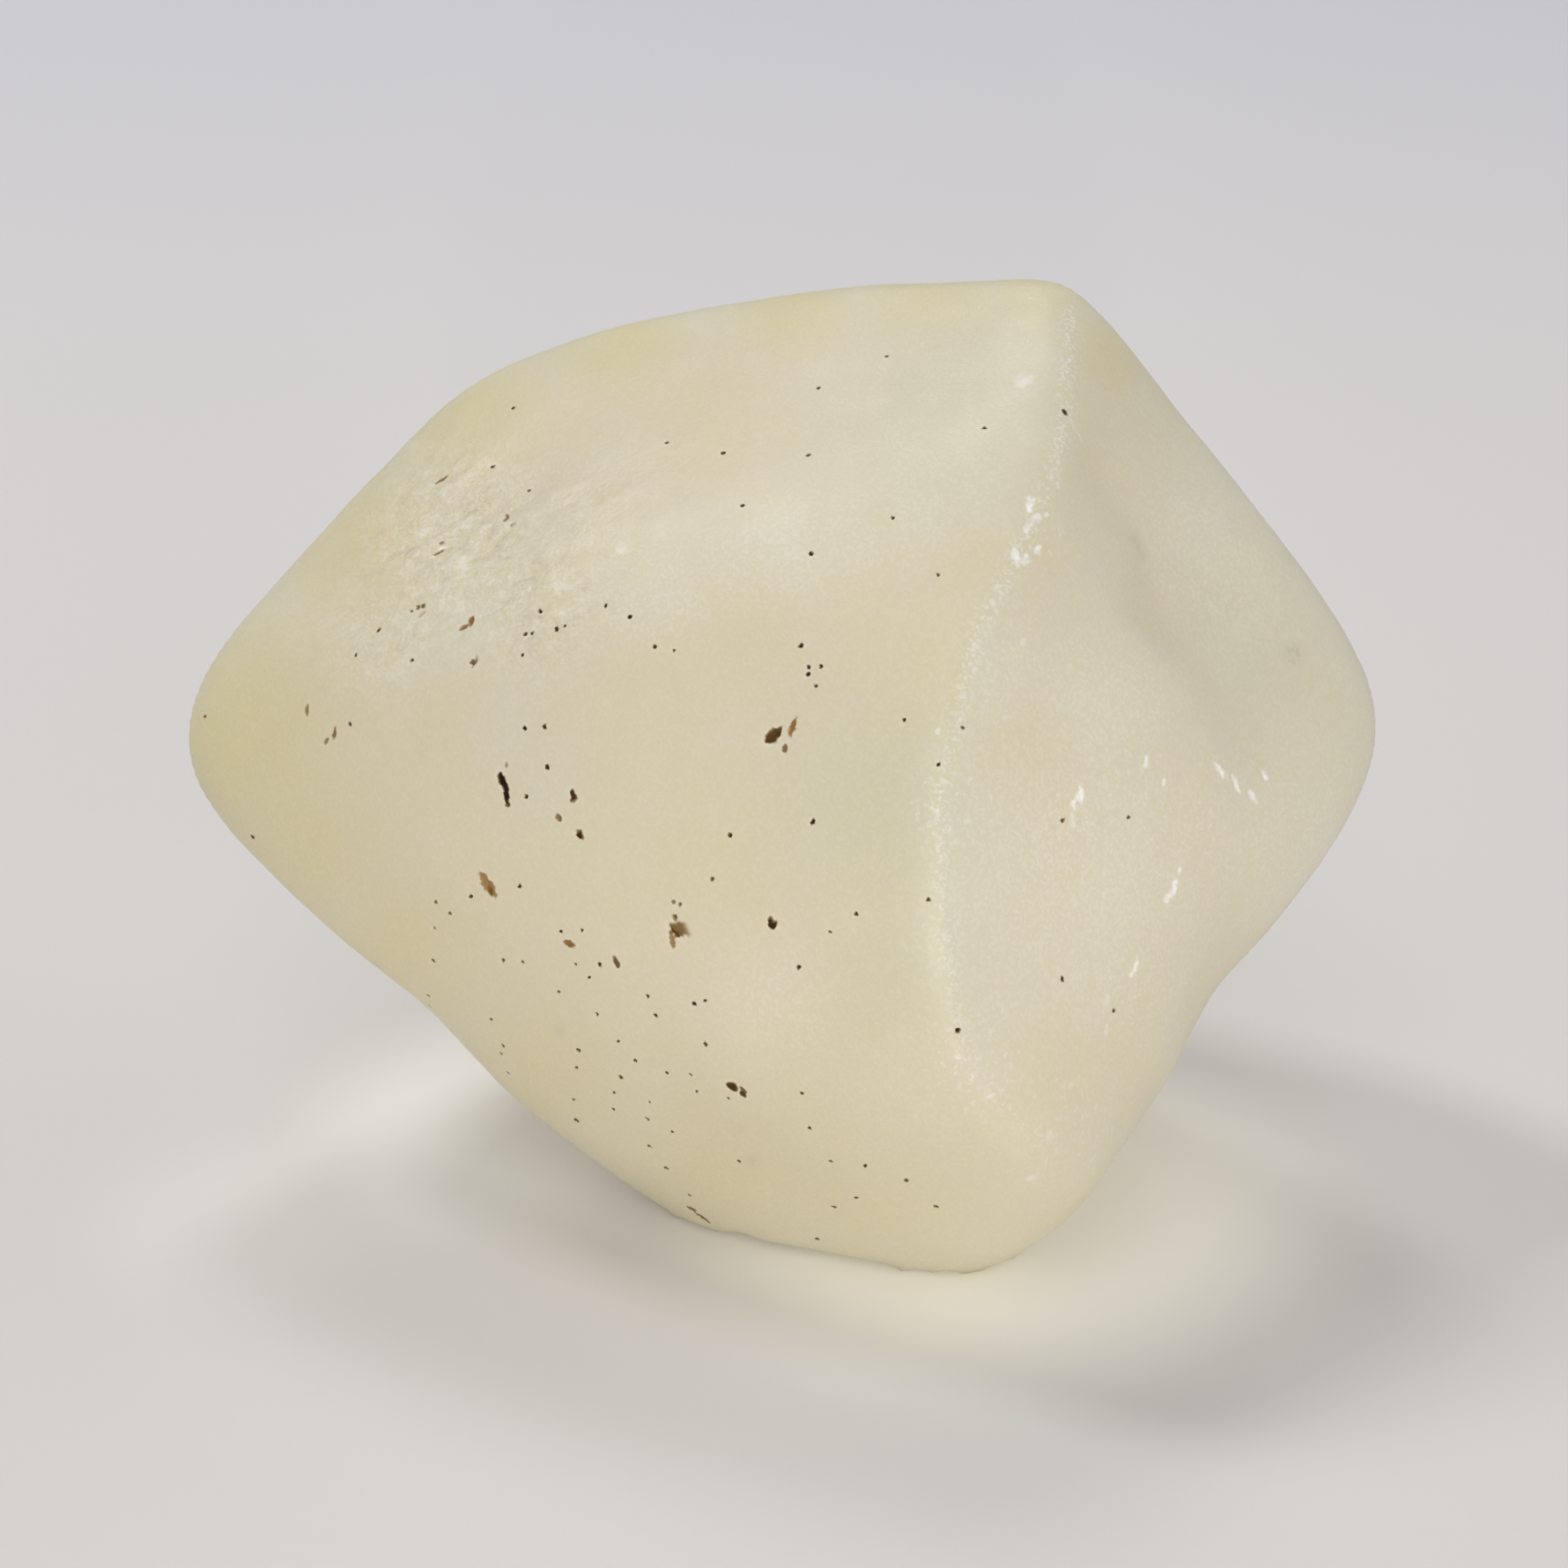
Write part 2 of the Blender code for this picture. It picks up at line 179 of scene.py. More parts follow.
# Small round bubbles, open and dark with dust: across, up.
dustPits = {
    "width": (0.065, 0.105),
    "stretch": (1.0, 1.4),                     # length over width
    "depth": 0.8,                              # times the width
    "cleanDepth": 0.4,                         # times that, in a pit with no dirt
    "dirt": (0.9, 1.0),
    "halo": 0.3,
    "seed": 5,
    "left side": (
        (-6.94, 1.49), (-6.42, 1.53), (-6.35, 0.45), (-7.10, -2.74), (-9.32, -3.16), (-8.40, -3.02),
        (-8.94, -3.47), (-9.37, -3.87), (-5.99, -3.96), (-5.43, -3.92), (-7.53, -4.72), (-7.01, -4.77),
        (-5.59, -4.84), (-4.96, -4.84), (-9.42, -4.74), (-9.53, -5.69), (-9.51, -5.95), (-15.53, 1.82),
        (-14.23, -1.42), (-11.63, 1.60), (-6.91, -0.34), (-5.22, -5.19),
    ),
    "low left": (
        (-5.00, -6.16), (-6.02, -5.57), (-7.86, -6.32), (-7.53, -7.01), (-7.58, -7.22), (-7.39, -7.74),
        (-5.50, -7.13), (-5.57, -7.60), (-5.64, -8.47), (-5.57, -9.02), (-4.55, -8.28), (-4.58, -8.73),
        (-4.37, -7.86), (-4.44, -6.89), (-3.99, -7.41), (-3.45, -6.21), (-3.66, -5.69), (-3.14, -7.74),
        (-3.61, -8.54), (-3.68, -8.99), (-3.00, -9.32), (-3.61, -9.72), (-3.16, -10.31), (-2.55, -11.02),
        (-3.33, -11.38),
    ),
    "keel": (
        (-2.12, -6.99), (-2.41, -5.90), (-2.12, -5.81), (-2.50, -7.79), (-2.34, -8.24), (-1.51, -8.44),
        (-1.20, -10.10), (0.47, -8.31), (0.68, -9.23), (1.25, -10.12), (2.17, -10.24), (3.28, -10.62),
        (1.94, -11.09), (1.35, -11.33), (0.90, -12.18), (4.06, -11.33),
    ),
    "front": (
        (-1.91, -2.55), (0.76, -1.01), (0.38, -4.91), (3.23, 1.72), (3.87, -3.09), (1.94, -3.47),
        (1.23, -3.96), (-1.44, -1.37), (0.45, 3.71), (0.66, 3.14), (0.64, 2.95), (0.85, 2.64),
        (0.99, 3.16), (-3.47, 3.68), (-2.95, 3.59), (0.73, 6.16), (2.93, 7.10), (4.13, 5.62),
    ),
    "brow": (
        (0.92, 10.62), (0.66, 8.78), (5.38, 9.51), (-1.09, 7.41), (-3.14, 9.16), (-1.63, 8.87),
        (-7.25, 10.08), (-7.81, 8.52), (-6.84, 7.88), (2.74, 11.47), (-6.73, 4.01), (-6.91, 4.01),
        (-6.07, 4.13), (-5.85, 4.22), (-6.47, 4.58), (-6.56, 4.96), (-4.77, 4.77), (-4.13, 4.48),
        (-11.47, 3.45), (-10.90, 4.15), (-9.98, 3.33), (-7.01, 3.45),
    ),
    "right side": (
        (4.13, 0.52), (4.67, -6.61), (9.23, -0.90), (7.48, -0.97), (7.46, -5.22), (8.85, -6.07),
    ),
}

# Chips and bruises, which show white, partly as bruised glass and partly as painted glints: across, up,
# width, length, turn, depth, bruise and glint.
chips = {
    "round spot, top": (6.42, 10.83, 0.44, 0.58, 70, 0.035, 0.32),
    "round spot, brow": (-4.27, 6.30, 0.42, 0.46, 60, 0.035, 0.26),
    "ridge 1": (7.32, 8.57, 0.12, 0.16, 80, 0.03, 0.5),
    "ridge 2": (7.36, 8.02, 0.12, 0.18, 80, 0.03, 0.5),
    "ridge 3": (6.58, 7.46, 0.16, 0.40, 85, 0.06, 1.0),
    "ridge 4": (6.75, 7.13, 0.14, 0.26, 10, 0.05, 0.9),
    "ridge 5": (7.01, 7.17, 0.12, 0.16, 40, 0.04, 0.8),
    "ridge 6": (6.56, 6.89, 0.12, 0.16, 60, 0.04, 0.7),
    "ridge 7": (6.46, 6.75, 0.12, 0.14, 60, 0.04, 0.8),
    "ridge 8": (6.77, 6.27, 0.15, 0.24, 65, 0.06, 1.0),
    "ridge 9": (6.44, 5.97, 0.13, 0.26, 70, 0.05, 0.9),
    "ridge 10": (6.18, 6.02, 0.18, 0.46, -65, 0.06, 1.0),
    "ridge 11": (5.71, 5.24, 0.12, 0.16, 0, 0.03, 0.5),
    "ridge 12": (5.59, 4.77, 0.12, 0.16, 0, 0.03, 0.4),
    "ridge 13": (5.07, 3.02, 0.12, 0.20, 60, 0.03, 0.5),
    "ridge 14": (4.13, 1.39, 0.12, 0.18, 20, 0.03, 0.5),
    "ridge 15": (4.08, -0.76, 0.11, 0.16, 60, 0.03, 0.5),
    "ridge 16": (4.41, -1.20, 0.11, 0.15, 60, 0.03, 0.4),
    "ridge 17": (4.67, -7.32, 0.12, 0.16, 60, 0.03, 0.5),
    "ridge 18": (5.55, -8.35, 0.13, 0.20, 40, 0.03, 0.5),
    "cheek chip": (7.93, -0.31, 0.20, 0.34, 70, 0.07, 1.0),
    "cheek chip, foot": (7.78, -0.54, 0.13, 0.18, 60, 0.05, 0.9),
    "cheek crack": (7.74, -1.01, 0.16, 0.40, -80, 0.03, 0.35),
    "wing chip": (12.96, 0.21, 0.15, 0.32, -62, 0.05, 0.9),
    "wing scar 1": (11.75, 0.35, 0.20, 0.50, -25, 0.04, 0.75),
    "wing scar 2": (12.15, -0.02, 0.18, 0.50, -50, 0.04, 0.9),
    "wing scar 3": (12.57, -0.33, 0.18, 0.40, -35, 0.04, 0.8),
    "fold chip 1": (9.70, 0.61, 0.15, 0.26, 80, 0.04, 0.8),
    "fold chip 2": (10.19, 0.05, 0.11, 0.17, 60, 0.04, 0.8),
    "low scar 1": (10.57, -2.39, 0.14, 0.22, 70, 0.04, 0.8),
    "low scar 2": (10.49, -2.67, 0.16, 0.28, 75, 0.05, 1.0),
    "low scar 3": (10.44, -2.90, 0.13, 0.18, 60, 0.04, 0.8),
    "low scar 4": (10.28, -3.06, 0.22, 0.36, 50, 0.03, 0.6),
    "heel chip 1": (9.42, -4.87, 0.14, 0.28, 62, 0.04, 0.9),
    "heel chip 2": (9.31, -5.11, 0.11, 0.14, 60, 0.04, 0.8),
    "cheek spot 1": (8.59, -3.00, 0.12, 0.16, 80, 0.02, 0.35),
    "cheek spot 2": (8.54, -3.33, 0.12, 0.16, 80, 0.02, 0.35),
    "cheek spot 3": (5.92, 1.79, 0.12, 0.18, 20, 0.02, 0.35),
    "cheek spot 4": (5.88, -6.07, 0.12, 0.16, 60, 0.02, 0.35),
    "cheek spot 5": (6.42, 3.80, 0.14, 0.18, 60, 0.02, 0.4),
    "low spot 1": (8.65, -5.81, 0.18, 0.34, 85, 0.02, 0.35),
    "low spot 2": (8.65, -6.61, 0.16, 0.30, 85, 0.02, 0.35),
    "low spot 3": (7.72, -8.07, 0.14, 0.18, 30, 0.02, 0.35),
    "low spot 4": (7.13, -9.44, 0.20, 0.26, 40, 0.02, 0.35),
    "low spot 5": (6.63, -10.60, 0.22, 0.26, 30, 0.02, 0.4),
    "low spot 6": (8.26, -10.08, 0.12, 0.16, 30, 0.02, 0.35),
    "brow nick": (-9.16, 6.32, 0.10, 0.26, 15, 0.02, 0.6),
    "ridge nick 1": (7.67, 9.65, 0.12, 0.34, -65, 0.03, 0.35),
    "ridge nick 2": (7.88, 9.30, 0.11, 0.26, -60, 0.03, 0.45),
}

# Large soft patches, as (across, up, radius, strength).
patches = {
    "rough": (
        (-8.6, 6.4, 2.3, 0.9), (-6.8, 4.9, 1.7, 0.9), (-10.6, 4.0, 1.6, 0.6), (-5.6, 7.2, 1.8, 0.35),
    ),
    "smudge": (
        (9.44, 6.50, 0.14, 0.8), (9.60, 6.15, 0.12, 0.8), (13.64, 3.49, 0.24, 0.9),
        (-0.85, -10.10, 0.17, 0.6), (-1.17, -9.28, 0.12, 0.5), (-6.02, -6.63, 0.16, 0.5),
    ),
    "fleck": (
        (5.6, 3.0, 1.3, 0.8), (4.6, -0.5, 1.4, 0.9), (4.5, -4.0, 1.2, 0.6), (5.2, -7.6, 1.5, 0.9),
        (6.8, 6.5, 0.9, 0.9), (8.4, -1.0, 2.6, 0.7), (11.6, -1.0, 2.2, 0.6), (9.3, -5.2, 1.8, 0.6),
        (7.5, -9.0, 1.8, 0.6), (-8.0, 4.6, 1.6, 0.25), (3.5, 6.5, 1.8, 0.2),
    ),
    # Painted shade and light: the glass is darker and yellower along the rims, at the left tip, at the
    # bottom and on the upper face, partly its own tone, and paler along the brow and right of the ridge,
    # mostly a painted highlight and sheen.
    "warmAndShade": (
        (-15.6, 1.4, 3.8, 1.0), (-13.2, -1.7, 3.0, 0.7), (-10.4, -4.7, 2.8, 0.7), (-6.8, -8.0, 2.5, 0.6),
        (-11.6, 6.8, 2.5, 0.8), (-8.7, 10.4, 2.5, 0.9), (-4.5, 12.3, 2.0, 1.0), (0.2, 13.4, 2.0, 1.0),
        (3.8, 13.7, 2.0, 1.0), (6.8, 13.5, 1.5, 0.9), (8.9, 11.6, 1.2, 0.7), (-2.1, -10.9, 3.0, 0.5),
        (2.6, -12.0, 2.5, 0.3), (-2.0, 9.8, 2.8, 0.4), (3.0, 10.4, 2.5, 0.3), (-8.5, 6.4, 2.2, 0.3),
    ),
    # Painted highlight: a pale band along the brow, with a little of the glass's own paler tone.
    "pale": (
        (-4.2, 4.8, 1.2, 0.5), (-3.1, 5.2, 1.3, 0.55), (-1.4, 5.9, 1.3, 0.45), (0.0, 6.3, 1.5, 0.6),
        (1.8, 6.7, 1.4, 0.45), (3.6, 7.1, 1.4, 0.45), (5.3, 7.9, 1.2, 0.35),
        (-8.4, 4.2, 1.3, 0.35), (-0.2, -5.7, 1.6, 0.4),
    ),
    # Painted shade in the valley left of the ridge.
    "warm, left of the ridge": (
        (2.6, -0.7, 2.5, 0.45), (3.8, 2.6, 2.0, 0.45), (3.1, -5.0, 2.0, 0.25),
    ),
    # Painted sheen on the face right of the ridge, partly its own paler tone.
    "pale and painted sheen, right of the ridge": (
        (8.0, -2.6, 5.0, 0.5), (5.7, 3.1, 2.5, 0.4), (8.6, 2.2, 2.2, 0.6), (13.9, -1.4, 3.5, 0.4),
        (11.6, 6.4, 3.5, 0.4),
    ),
    # Painted shade: darker, greyer glass in the dish, in the valley left of the ridge, on the front and
    # below the top.
    "paintedShade": (
        (2.2, -0.6, 3.2, 0.65), (3.0, -5.0, 2.6, 0.45), (-6.5, 0.0, 4.0, 0.3), (4.0, 10.0, 2.6, 0.35),
        (10.3, 5.6, 1.2, 0.2), (11.2, 4.2, 1.3, 0.35), (12.2, 3.0, 1.3, 0.35), (13.3, 1.9, 1.2, 0.2),
    ),
}
ridgeSoftness = 0.35                           # mm, how fast the painted shade left of the ridge turns into the painted sheen right of it
crestFlecks = 0.7                              # how many flecks its crest has

# What the hidden sides carry, scattered by chance.
farSide = {
    "pits": 22,
    "pitWidth": (0.3, 0.6),
    "pitStretch": 1.3,
    "pitSeed": 11,
    "pitDepth": 0.7,                           # times the width
    "pitDirt": (0.3, 0.6, 1.0),
    "pitRust": (0.0, 0.0, 0.5, 1.0),
    "dust": 110,
    "dustStretch": (1.0, 1.8),
    "swarmSize": 5.0,
    "swarmEdge": (-0.1, 0.35),
    "chips": 50,
    "chipWidth": (0.12, 0.30),
    "chipStretch": (1.1, 2.4),
    "chipDepth": (0.02, 0.06),
    "chipFrost": (0.3, 0.9),
    "fleckSize": 4.0,
    "fleckShift": 0.1,                         # above zero, more than half has flecks
    "fleckRise": 1.5,
    "fleckMost": 0.8,
    "seed": 23,
    "facing": 0.1,                             # how far a place must turn away
    "lowest": 1.0,                             # mm above the table
}

# How a pit or chip is cut; a distance is given in half sizes of the mark, 1 at its rim.
cutting = {
    "chipLean": 0.6,                           # one end of a chip is deeper
    "chipRagged": 1.1,                         # how uneven its edge is
    "pitRagged": 0.45,
    "edgeGrain": 0.11,                         # mm, the size of that unevenness
    "search": 2.0,                             # half lengths
    "searchMore": 0.05,                        # mm
    "stainEnd": 1.2,                           # dirt and bruises reach a little past the rim
    "stainSoftness": 0.25,
    "haloMiddle": 1.35,                        # the pale ring around dirt
    "haloWidth": 0.3,
}

# Where the mesh is made finer: edge lengths in mm.
splitting = {
    "base": 0.22,
    "pitEdge": 0.045,
    "chipEdge": 0.06,
    "roughEdge": 0.13,
    "crestEdge": 0.10,
    "crestReach": 0.4,
    "markReach": 1.2,                          # times a mark's half length
    "roughShare": 0.3,                         # of a rough patch, from where it is split
    "grading": 0.55,
    "search": 1.0,
    "slack": 1.35,
    "passes": 3,
    "settlePasses": 3,
}


def guideTree():
    # The solid with its facets smoothed, for the fine surface to be drawn onto.
    bm = bmesh.new()
    bm.from_mesh(solidStone.data)
    bmesh.ops.remove_doubles(bm, verts=bm.verts, dist=stoneForm["mergeDistance"] * mm)
    bmesh.ops.scale(bm, vec=(1 / mm, 1 / mm, 1 / mm), verts=bm.verts)
    mesh = bpy.data.meshes.new("guide")
    bm.to_mesh(mesh)
    bm.free()
    guide = bpy.data.objects.new("guide", mesh)
    bpy.context.scene.collection.objects.link(guide)
    smooth = guide.modifiers.new("smooth", "SUBSURF")
    smooth.levels = stoneForm["guideLevels"]
    smooth.render_levels = stoneForm["guideLevels"]
    tree = BVHTree.FromObject(guide, bpy.context.evaluated_depsgraph_get())
    bpy.data.objects.remove(guide)
    bpy.data.meshes.remove(mesh)
    return tree


def drawnBall(tree):
    bm = bmesh.new()
    bmesh.ops.create_icosphere(bm, subdivisions=stoneForm["ballSubdivisions"], radius=1.0)
    for vert in bm.verts:
        vert.co = tree.ray_cast(stoneForm["core"], vert.co.normalized())[0]
    return bm


def smoothPlaces(bm, verts, passes):
    for _ in range(passes):
        bmesh.ops.smooth_vert(
            bm, verts=verts, factor=0.5, use_axis_x=True, use_axis_y=True, use_axis_z=True
        )


def newMark(place, normal, grain, width, length, depth, **finish):
    # A pit or chip: its middle, its directions scaled by its half sizes, and its finish.
    along = (grain - normal * grain.dot(normal)).normalized()
    side = normal.cross(along)
    mark = {
        "place": place, "normal": normal, "along": along / (0.5 * length), "side": side / (0.5 * width),
        "reach": 0.5 * length, "depth": depth, "edge": splitting["pitEdge"],
        "lean": 0.0, "ragged": 0.0, "dirt": 0.0, "rust": 0.0, "frost": 0.0, "halo": 0.0,
    }
    mark.update(finish)
    return mark


def pictureGrain(turn):
    angle = math.radians(turn)
    return pictureRight * math.cos(angle) + pictureUp * math.sin(angle)


def seenMarks(tree):
    marks = []
    for across, up, width, length, turn, dirt, rust in dirtPits.values():
        place, normal = seenPlace(tree, across, up)
        depth = width * dustPits["depth"] * (dustPits["cleanDepth"] * (1.0 - dirt) + dirt)
        marks.append(newMark(
            place, normal, pictureGrain(turn), width, length, depth,
            dirt=dirt, rust=rust, halo=dustPits["halo"] * dirt, ragged=cutting["pitRagged"]
        ))
    draw = random.Random(dustPits["seed"])
    for group in ("left side", "low left", "keel", "front", "brow", "right side"):
        for across, up in dustPits[group]:
            place, normal = seenPlace(tree, across, up)
            width = draw.uniform(*dustPits["width"])
            grain = pictureGrain(draw.uniform(0, 180))
            marks.append(newMark(
                place, normal, grain, width, width * draw.uniform(*dustPits["stretch"]),
                width * dustPits["depth"], dirt=draw.uniform(*dustPits["dirt"]), halo=dustPits["halo"]
            ))
    for across, up, width, length, turn, depth, frost in chips.values():
        place, normal = seenPlace(tree, across, up)
        marks.append(newMark(
            place, normal, pictureGrain(turn), width, length, depth, frost=frost,
            lean=cutting["chipLean"], ragged=cutting["chipRagged"] * frost, edge=splitting["chipEdge"]
        ))
    return marks


def anyDirection(draw):
    return Vector((draw.gauss(0, 1), draw.gauss(0, 1), draw.gauss(0, 1))).normalized()


def farPits(tree, finish):
    # The solid's own pits on the far side, drawn by the same chance as in the solid.
    marks = []
    draw = random.Random(farSide["pitSeed"])
    while len(marks) < farSide["pits"]:
        direction = anyDirection(draw)
        width = draw.uniform(*farSide["pitWidth"])
        place, normal, _, _ = tree.ray_cast(stoneForm["core"], direction)
        if normal.dot(lookAlong) > farSide["facing"] and place.z > farSide["lowest"]:
            marks.append(newMark(
                place, normal, normal.orthogonal(), width, width * farSide["pitStretch"],
                width * farSide["pitDepth"], dirt=finish.choice(farSide["pitDirt"]),
                rust=finish.choice(farSide["pitRust"]), halo=dustPits["halo"]
            ))
    return marks


def farPlace(tree, draw):
    # Somewhere on the hidden sides, by chance.
    while True:
        place, normal, _, _ = tree.ray_cast(stoneForm["core"], anyDirection(draw))
        if normal.dot(lookAlong) > farSide["facing"] and place.z > farSide["lowest"]:
            return place, normal


def farDust(tree, draw):
    marks = []
    while len(marks) < farSide["dust"]:
        place, normal = farPlace(tree, draw)
        # Bubbles lie in swarms, so most of the stone has few of them.
        if noise.noise(place / farSide["swarmSize"]) > draw.uniform(*farSide["swarmEdge"]):
            width = draw.uniform(*dustPits["width"])
            marks.append(newMark(
                place, normal, anyDirection(draw), width, width * draw.uniform(*farSide["dustStretch"]),
                width * dustPits["depth"], dirt=draw.uniform(*dustPits["dirt"]), halo=dustPits["halo"]
            ))
    return marks


def farChips(tree, draw):
    marks = []
    while len(marks) < farSide["chips"]:
        place, normal = farPlace(tree, draw)
        width = draw.uniform(*farSide["chipWidth"])
        marks.append(newMark(
            place, normal, anyDirection(draw), width, width * draw.uniform(*farSide["chipStretch"]),
            draw.uniform(*farSide["chipDepth"]), frost=draw.uniform(*farSide["chipFrost"]),
            lean=cutting["chipLean"], ragged=cutting["chipRagged"], edge=splitting["chipEdge"]
        ))
    return marks


def patchShare(name, point, normal):
    # How much of a soft patch of the seen side a point has, 0 to 1.
    if normal.dot(eye - point) < 0.0:
        return 0.0
    across, up = picturePlace(point)
    share = 0.0
    for middleAcross, middleUp, radius, strength in patches[name]:
        distance = math.hypot(across - middleAcross, up - middleUp) / radius
        share = max(share, strength * math.exp(-distance ** 2))
    return share


def lineDistance(across, up, line):
    # How far a seen place is from a line, and how far along the line, 0 to 1, that is.
    nearest, along = math.inf, 0.0
    for number in range(len(line) - 1):
        startAcross, startUp = line[number]
        stepAcross, stepUp = line[number + 1][0] - startAcross, line[number + 1][1] - startUp
        share = (across - startAcross) * stepAcross + (up - startUp) * stepUp
        share = min(max(share / (stepAcross ** 2 + stepUp ** 2), 0.0), 1.0)
        distance = math.hypot(across - startAcross - share * stepAcross, up - startUp - share * stepUp)
        if distance < nearest:
            nearest, along = distance, (number + share) / (len(line) - 1)
    return nearest, along


def foldHeight(name, across, up):
    # The height of a fold at a seen place, greatest on its line and gone at its reach.
    first, last, reach, roundness, line = folds[name]
    distance, along = lineDistance(across, up, line)
    if distance > reach:
        return 0.0
    ends = min(along / foldEnds, (1.0 - along) / foldEnds, 1.0)
    return (first + (last - first) * along) * ends * (1.0 - (distance / reach) ** roundness) ** 2


def ridgeSide(across, up):
    # 0 on the left of the chipped ridge and 1 on its right.
    line = folds["ridge"][-1]
    height = min(max(up, line[-1][1]), line[0][1])
    for (startAcross, startUp), (endAcross, endUp) in zip(line, line[1:]):
        if startUp >= height >= endUp:
            middle = startAcross + (endAcross - startAcross) * (startUp - height) / (startUp - endUp)
            return min(max((across - middle) / ridgeSoftness + 0.5, 0.0), 1.0)


def pointTree(places):
    tree = kdtree.KDTree(len(places))
    for number, place in enumerate(places):
        tree.insert(place, number)
    tree.balance()
    return tree


def healPits(bm, marks):
    # The solid's coarse pits are filled in, and cut again finely afterwards.
    places = pointTree([vert.co for vert in bm.verts])
    bm.verts.ensure_lookup_table()
    inside = set()
    for mark in marks:
        reach = mark["reach"] * stoneForm["healReach"] + stoneForm["healMargin"]
        inside.update(index for _, index, _ in places.find_range(mark["place"], reach))
    smoothPlaces(bm, [bm.verts[index] for index in sorted(inside)], stoneForm["healPasses"])


def wantedEdge(point, normal, marks, places):
    # How long an edge may be here: short in a pit or chip, longer away from it.
    wanted = splitting["base"]
    for _, number, distance in places.find_range(point, splitting["search"]):
        mark = marks[number]
        beyond = max(distance - mark["reach"] * splitting["markReach"], 0.0)
        wanted = min(wanted, mark["edge"] + beyond * splitting["grading"])
    if wanted > splitting["roughEdge"] and patchShare("rough", point, normal) > splitting["roughShare"]:
        wanted = splitting["roughEdge"]
    if wanted > splitting["crestEdge"] and normal.dot(eye - point) > 0.0:
        distance, _ = lineDistance(*picturePlace(point), folds["ridge"][-1])
        if distance < splitting["crestReach"]:
            wanted = splitting["crestEdge"]
    return wanted


def splitNearMarks(bm, marks):
    places = pointTree([mark["place"] for mark in marks])
    for turn in range(splitting["passes"]):
        bm.normal_update()
        edges = []
        for edge in bm.edges:
            start, end = edge.verts
            middle = (start.co + end.co) / 2
            if edge.calc_length() > splitting["slack"] * wantedEdge(middle, start.normal, marks, places):
                edges.append(edge)
        cut = bmesh.ops.subdivide_edges(bm, edges=edges, cuts=1)
        bmesh.ops.triangulate(bm, faces=[face for face in bm.faces if len(face.verts) > 3])
        fresh = [item for item in cut["geom_inner"] if isinstance(item, bmesh.types.BMVert)]
        smoothPlaces(bm, fresh, splitting["settlePasses"])
        print("split", turn + 1, "gives", len(bm.faces), "faces")


def waveBumps(bm):
    # Low waves all over, folds, and a wrinkled, sand-blasted patch on the brow.
    slope = math.radians(stoneForm["roughSlope"])
    alongStretch, overStretch = stoneForm["roughStretch"]
    crestLength, crestSize = stoneForm["crestWaves"]
    bm.normal_update()
    layers = bm.verts.layers.float
    for vert in bm.verts:
        height = sum(size * noise.noise(vert.co / length) for length, size in stoneForm["gentleWaves"])
        if vert.normal.dot(eye - vert.co) > 0.0:
            across, up = picturePlace(vert.co)
            height += sum(foldHeight(name, across, up) for name in folds)
            share = patchShare("rough", vert.co, vert.normal)
            along = (across * math.cos(slope) + up * math.sin(slope)) * alongStretch
            over = (up * math.cos(slope) - across * math.sin(slope)) * overStretch
            for length, size in stoneForm["roughWaves"]:
                height += share * size * noise.noise(Vector((along, over, 0.0)) / length)
            distance, along = lineDistance(across, up, folds["ridge"][-1])
            crest = math.exp(-(distance / stoneForm["crestWidth"]) ** 2)
            crest *= 1.0 - stoneForm["crestFade"] * along
            height += crest * crestSize * noise.noise(vert.co / crestLength)
            vert[layers["rough"]] = share
            vert[layers["crest"]] = crest
        if vert.co.z > stoneForm["flatHeight"]:
            vert.co += vert.normal * height


def cutMarks(bm, marks):
    # Each pit or chip sinks the points inside it and leaves its dirt or bruise on them.
    places = pointTree([vert.co for vert in bm.verts])
    bm.verts.ensure_lookup_table()
    layers = bm.verts.layers.float
    for mark in marks:
        search = mark["reach"] * cutting["search"] + cutting["searchMore"]
        for point, index, _ in places.find_range(mark["place"], search):
            vert = bm.verts[index]
            offset = point - mark["place"]
            lengthwise = offset.dot(mark["along"])
            share = math.hypot(lengthwise, offset.dot(mark["side"]))
            share += mark["ragged"] * noise.noise(point / cutting["edgeGrain"])
            if share < 1.0:
                sink = mark["depth"] * (1.0 - share ** 2) * (1.0 + mark["lean"] * lengthwise)
                vert.co -= mark["normal"] * sink
            inside = min(max((cutting["stainEnd"] - share) / cutting["stainSoftness"], 0.0), 1.0)
            ring = math.exp(-((share - cutting["haloMiddle"]) / cutting["haloWidth"]) ** 2) * mark["halo"]
            for name in ("dirt", "rust"):
                vert[layers[name]] = max(vert[layers[name]], mark[name] * inside)
            vert[layers["frost"]] = max(vert[layers["frost"]], mark["frost"] * inside, ring)


def paintPatches(bm):
    # Soft patches are kept as values on the points, for the material to read.
    layers = bm.verts.layers.float
    for vert in bm.verts:
        for name in ("smudge", "fleck", "paintedShade"):
            vert[layers[name]] = patchShare(name, vert.co, vert.normal)
        right = ridgeSide(*picturePlace(vert.co))
        # Painted shade left of the ridge, painted sheen right of it.
        warmAndShade = patchShare("warm, left of the ridge", vert.co, vert.normal) * (1.0 - right)
        pale = patchShare("pale and painted sheen, right of the ridge", vert.co, vert.normal) * right
        vert[layers["warmAndShade"]] = max(warmAndShade, patchShare("warmAndShade", vert.co, vert.normal))
        vert[layers["pale"]] = max(pale, patchShare("pale", vert.co, vert.normal))
        vert[layers["fleck"]] = max(vert[layers["fleck"]], crestFlecks * vert[layers["crest"]])
        if vert.normal.dot(lookAlong) > 0.0:
            worn = noise.noise(vert.co / farSide["fleckSize"]) + farSide["fleckShift"]
            vert[layers["fleck"]] = min(max(worn, 0.0) * farSide["fleckRise"], farSide["fleckMost"])


